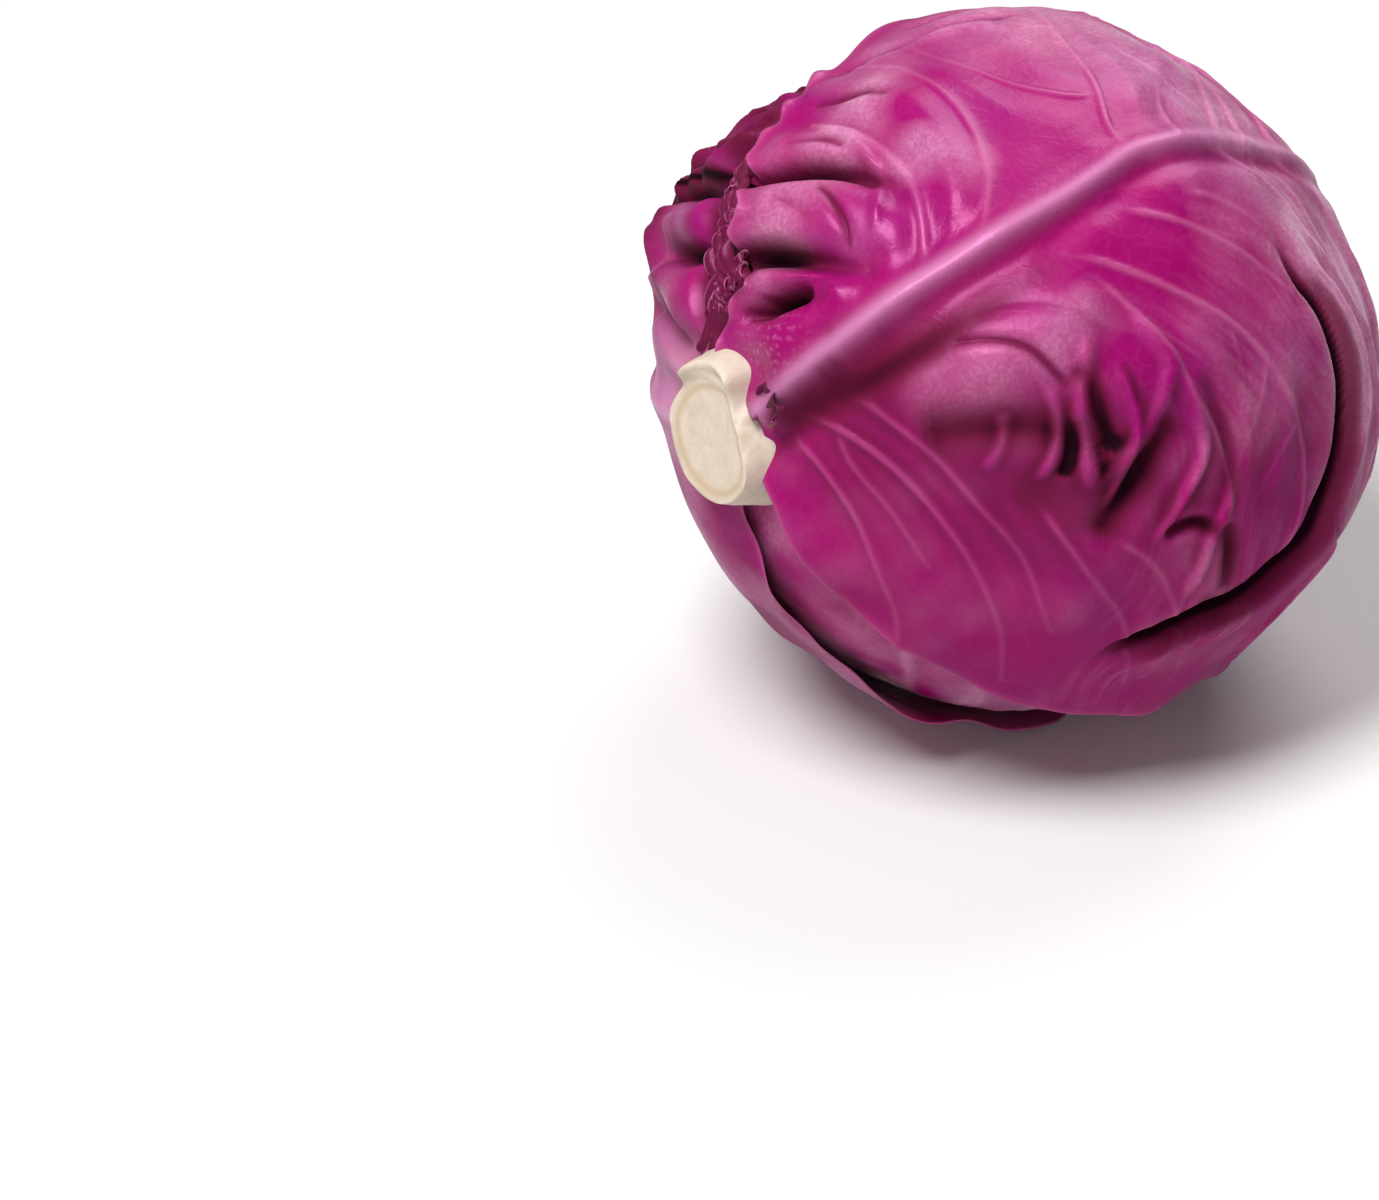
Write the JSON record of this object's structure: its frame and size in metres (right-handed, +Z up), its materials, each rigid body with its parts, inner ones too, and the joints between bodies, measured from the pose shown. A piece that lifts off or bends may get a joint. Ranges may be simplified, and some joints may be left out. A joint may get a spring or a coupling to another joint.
{
  "type": "red cabbage head",
  "caption": "Whole head of red cabbage lying on its side, cut stem end slightly raised, cupped leaves nested round a tapered core, resting on a small flat spot.",
  "frame": {"origin": "bottom of the head, under the middle of its bounding box, in the plane of the small flat spot it rests on", "axes": "+Z up; the stem-to-crown axis lies in the XZ plane, with the crown towards +X and the cut stem towards -X, raised about 9 degrees"},
  "size_m": [0.1652, 0.161, 0.1586],
  "materials": {
    "outer_leaf": "waxy, semi-gloss magenta-purple leaf with pale veins",
    "inner_leaf": "satin purple leaf",
    "stem": "matte cream cut stem",
    "dry_leaf": "dull dark red dried leaf"
  },
  "bodies": {
    "root": {"stem_core": "stem", "torn_leaf_stub": "dry_leaf", "leaf_01": "outer_leaf", "leaf_02": "outer_leaf", "leaf_03": "outer_leaf", "leaf_04": "outer_leaf", "leaf_05": "outer_leaf", "leaf_06": "outer_leaf", "leaf_07": "inner_leaf", "leaf_08": "inner_leaf", "leaf_09": "inner_leaf", "leaf_10": "inner_leaf", "leaf_11": "inner_leaf", "leaf_12": "inner_leaf", "leaf_13": "inner_leaf", "leaf_14": "inner_leaf", "leaf_15": "inner_leaf", "leaf_16": "inner_leaf", "leaf_17": "inner_leaf", "leaf_18": "inner_leaf", "heart_bud": "inner_leaf"}
  },
  "joints": []
}
